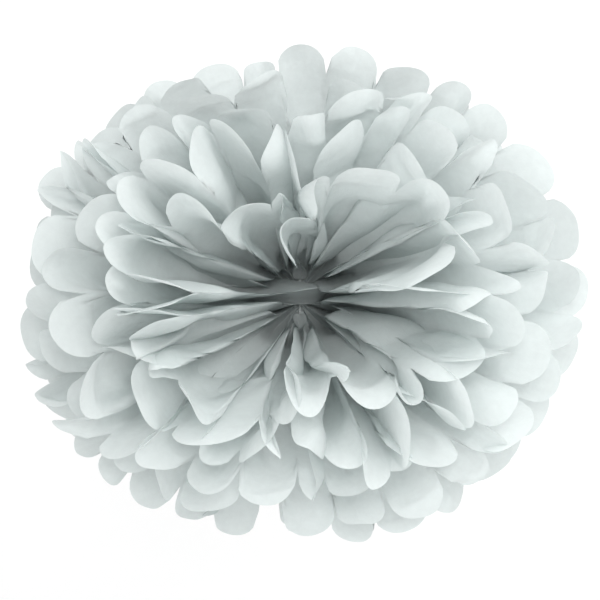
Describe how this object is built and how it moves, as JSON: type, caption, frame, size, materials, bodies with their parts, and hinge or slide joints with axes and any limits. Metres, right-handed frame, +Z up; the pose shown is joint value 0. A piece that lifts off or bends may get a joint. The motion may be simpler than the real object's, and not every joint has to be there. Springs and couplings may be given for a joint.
{
  "type": "tissue paper pom pom",
  "caption": "Fluffed ball of pleated tissue paper sheets with rounded petal ends, gathered and tied at the waist with a thin wire.",
  "frame": {"origin": "middle of the tie, where all the sheets are gathered", "axes": "+X along the folds, from the left half to the right half; -Y towards the front pole, which the first sheets are pulled towards; +Z up, along the slit that the hanging thread leaves by"},
  "size_m": [0.3491, 0.3257, 0.3108],
  "materials": {
    "tissue": "matt, thin and translucent pale silver grey tissue with fine fibres and soft creases",
    "wire": "paper-wrapped floral wire, pale grey, matt"
  },
  "bodies": {
    "root": {"tissue_sheet_01": "tissue", "tissue_sheet_02": "tissue", "tissue_sheet_03": "tissue", "tissue_sheet_04": "tissue", "tissue_sheet_05": "tissue", "tissue_sheet_06": "tissue", "tissue_sheet_07": "tissue", "tissue_sheet_08": "tissue", "tissue_sheet_09": "tissue", "tissue_sheet_10": "tissue", "tie_wire": "wire"}
  },
  "joints": []
}
